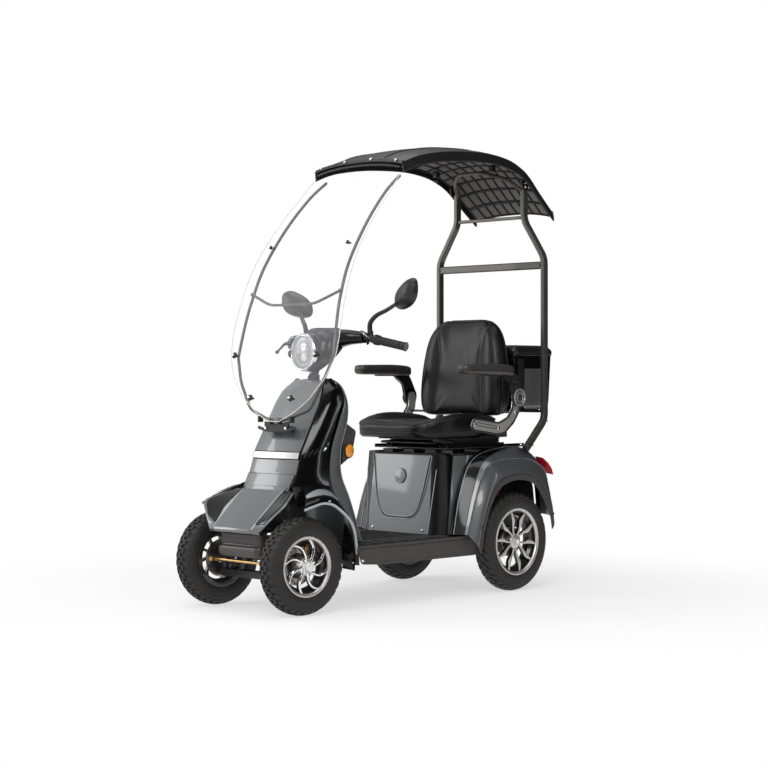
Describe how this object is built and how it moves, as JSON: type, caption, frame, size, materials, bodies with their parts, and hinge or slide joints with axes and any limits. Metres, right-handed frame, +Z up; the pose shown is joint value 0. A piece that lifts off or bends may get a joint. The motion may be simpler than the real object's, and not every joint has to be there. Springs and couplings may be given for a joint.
{
  "type": "mobility scooter",
  "caption": "Four-wheeled electric mobility scooter with a roof, a full-height clear windscreen, a padded swing-arm seat and a rear luggage box.",
  "frame": {"origin": "on the ground, under the middle of the overall length and width", "axes": "+Z up, -Y to the front of the scooter, +X to its left side"},
  "size_m": [0.8029, 1.7506, 1.85],
  "materials": {
    "grey_paint": "metallic",
    "gloss_black": "gloss",
    "brown_plastic": "satin",
    "mat_rubber": "matte",
    "tyre": "matte",
    "alloy": "machined",
    "steel": "satin",
    "mast_paint": "satin",
    "clear_sheet": "clear",
    "vinyl": "grained",
    "chrome": "polished",
    "red_lens": "gloss",
    "satin_black": "satin",
    "spring_red": "gloss",
    "gold_zinc": "satin"
  },
  "bodies": {
    "chassis": {"chassis_frame": "steel", "floor_pan": "brown_plastic", "floor_mat": "mat_rubber", "nose_hood": "grey_paint", "front_grille": "brown_plastic", "shield_shell": "gloss_black", "shield_panel": "grey_paint", "trim_strip": "chrome", "leg_shield": "grey_paint", "glove_box": "brown_plastic", "front_fender_left": "gloss_black", "front_fender_right": "gloss_black", "screen_frame": "mast_paint", "windscreen": "clear_sheet", "battery_housing": "grey_paint", "battery_panel": "grey_paint", "battery_pack": "satin_black", "rear_fender_left": "grey_paint", "rear_fender_right": "grey_paint", "tail_lamp_left": "red_lens", "tail_lamp_right": "red_lens", "rear_shock_left": "spring_red", "rear_shock_right": "spring_red", "front_shock_left": "satin_black", "front_shock_right": "satin_black", "mast": "mast_paint", "roof_shell": "satin_black", "roof_liner": "brown_plastic", "rear_box": "gloss_black", "seat_post": "steel"},
    "charge_flap": {"charge_flap": "grey_paint"},
    "steering": {"steering_column": "steel", "handlebar": "satin_black", "bar_cover": "satin_black", "headlight": "chrome", "grip_left": "mat_rubber"},
    "throttle": {"throttle_grip": "mat_rubber"},
    "brake_lever_left": {"brake_lever_left": "satin_black"},
    "brake_lever_right": {"brake_lever_right": "satin_black"},
    "mirror_left": {"mirror_left": "satin_black"},
    "mirror_right": {"mirror_right": "satin_black"},
    "front_axle": {"front_axle": "steel"},
    "tie_rod": {"tie_rod": "gold_zinc"},
    "knuckle_left": {"knuckle_left": "steel"},
    "knuckle_right": {"knuckle_right": "steel"},
    "wheel_front_left": {"rim_front_left": "alloy", "tyre_front_left": "tyre"},
    "wheel_front_right": {"rim_front_right": "alloy", "tyre_front_right": "tyre"},
    "rear_axle": {"rear_axle": "steel"},
    "wheel_rear_left": {"rim_rear_left": "alloy", "tyre_rear_left": "tyre"},
    "wheel_rear_right": {"rim_rear_right": "alloy", "tyre_rear_right": "tyre"},
    "seat": {"seat_frame": "alloy", "seat_cushion": "vinyl"},
    "backrest": {"backrest": "vinyl"},
    "armrest_left": {"armrest_left": "satin_black"},
    "armrest_right": {"armrest_right": "satin_black"},
    "box_lid": {"rear_box_lid": "satin_black"}
  },
  "joints": [
    {"name": "steering", "type": "hinge", "parent": "chassis", "child": "steering", "pos_m": [0, -0.387, 0.889], "axis": [0, 0.342, 0.9397], "range_deg": [-20, 30]},
    {"name": "front_suspension", "type": "slide", "parent": "chassis", "child": "front_axle", "axis": [0, 0, 1], "range_m": [0, 0.015], "stiffness_N_per_m": 40000, "springref_m": -0.025, "deforming": ["front_shock_left", "front_shock_right"]},
    {"name": "rear_suspension", "type": "slide", "parent": "chassis", "child": "rear_axle", "axis": [0, 0, 1], "range_m": [0, 0.02], "stiffness_N_per_m": 50000, "springref_m": -0.03, "deforming": ["rear_shock_left", "rear_shock_right"]},
    {"name": "kingpin_left", "type": "hinge", "parent": "front_axle", "child": "knuckle_left", "pos_m": [0.188, -0.684, 0], "axis": [0, 0, 1], "range_deg": [-20, 30]},
    {"name": "wheel_front_left_spin", "type": "hinge", "parent": "knuckle_left", "child": "wheel_front_left", "pos_m": [0.24179, -0.68871, 0.184], "axis": [0.9962, -0.0872, 0], "continuous": true},
    {"name": "wheel_rear_left_spin", "type": "hinge", "parent": "rear_axle", "child": "wheel_rear_left", "pos_m": [0.302, 0.464, 0.206], "axis": [1, 0, 0], "continuous": true},
    {"name": "kingpin_right", "type": "hinge", "parent": "front_axle", "child": "knuckle_right", "pos_m": [-0.188, -0.684, 0], "axis": [0, 0, 1], "range_deg": [-20, 30]},
    {"name": "wheel_front_right_spin", "type": "hinge", "parent": "knuckle_right", "child": "wheel_front_right", "pos_m": [-0.24179, -0.67929, 0.184], "axis": [0.9962, -0.0872, 0], "continuous": true},
    {"name": "wheel_rear_right_spin", "type": "hinge", "parent": "rear_axle", "child": "wheel_rear_right", "pos_m": [-0.302, 0.464, 0.206], "axis": [1, 0, 0], "continuous": true},
    {"name": "tie_rod_slide", "type": "slide", "parent": "front_axle", "child": "tie_rod", "axis": [1, 0, 0], "range_m": [-0.03, 0.045]},
    {"name": "throttle_twist", "type": "hinge", "parent": "steering", "child": "throttle", "pos_m": [-0.28308, -0.20936, 1.00159], "axis": [0.8834, -0.3868, 0.2646], "range_deg": [0, 45], "stiffness_Nm_per_rad": 0.6, "springref_deg": -17.19},
    {"name": "brake_lever_left_pull", "type": "hinge", "parent": "steering", "child": "brake_lever_left", "pos_m": [0.22716, -0.32458, 1.04448], "axis": [-0.0298, 0.0012, 0.9996], "range_deg": [0, 12], "stiffness_Nm_per_rad": 1.5, "springref_deg": -17.19},
    {"name": "mirror_left_turn", "type": "hinge", "parent": "steering", "child": "mirror_left", "pos_m": [0.20155, -0.27635, 1.06595], "axis": [-0.0298, 0.0012, 0.9996], "range_deg": [-25, 25]},
    {"name": "armrest_left_lift", "type": "hinge", "parent": "seat", "child": "armrest_left", "pos_m": [0.306, 0.504, 0.804], "axis": [-1, 0, 0], "range_deg": [0, 95]},
    {"name": "brake_lever_right_pull", "type": "hinge", "parent": "steering", "child": "brake_lever_right", "pos_m": [-0.22276, -0.2876, 1.03102], "axis": [0.0298, -0.0012, -0.9996], "range_deg": [0, 12], "stiffness_Nm_per_rad": 1.5, "springref_deg": -17.19},
    {"name": "mirror_right_turn", "type": "hinge", "parent": "steering", "child": "mirror_right", "pos_m": [-0.19095, -0.24408, 1.05421], "axis": [-0.0298, 0.0012, 0.9996], "range_deg": [-25, 25]},
    {"name": "armrest_right_lift", "type": "hinge", "parent": "seat", "child": "armrest_right", "pos_m": [-0.306, 0.504, 0.804], "axis": [-1, 0, 0], "range_deg": [0, 95]},
    {"name": "charge_flap_hinge", "type": "hinge", "parent": "chassis", "child": "charge_flap", "pos_m": [0, 0.11348, 0.51226], "axis": [-1, 0, 0], "range_deg": [0, 100]},
    {"name": "seat_slide", "type": "slide", "parent": "chassis", "child": "seat", "axis": [0, 1, 0], "range_m": [-0.075, 0]},
    {"name": "backrest_fold", "type": "hinge", "parent": "seat", "child": "backrest", "pos_m": [0, 0.498, 0.742], "axis": [1, 0, 0], "range_deg": [0, 60]},
    {"name": "box_lid_hinge", "type": "hinge", "parent": "chassis", "child": "box_lid", "pos_m": [0, 0.61, 0.988], "axis": [1, 0, 0], "range_deg": [0, 60]}
  ],
  "couplings": [
    {"joint": "kingpin_left", "follows": "steering", "ratio": 1},
    {"joint": "kingpin_right", "follows": "steering", "ratio": 1},
    {"joint": "tie_rod_slide", "follows": "steering", "m_per_rad": 0.08}
  ]
}
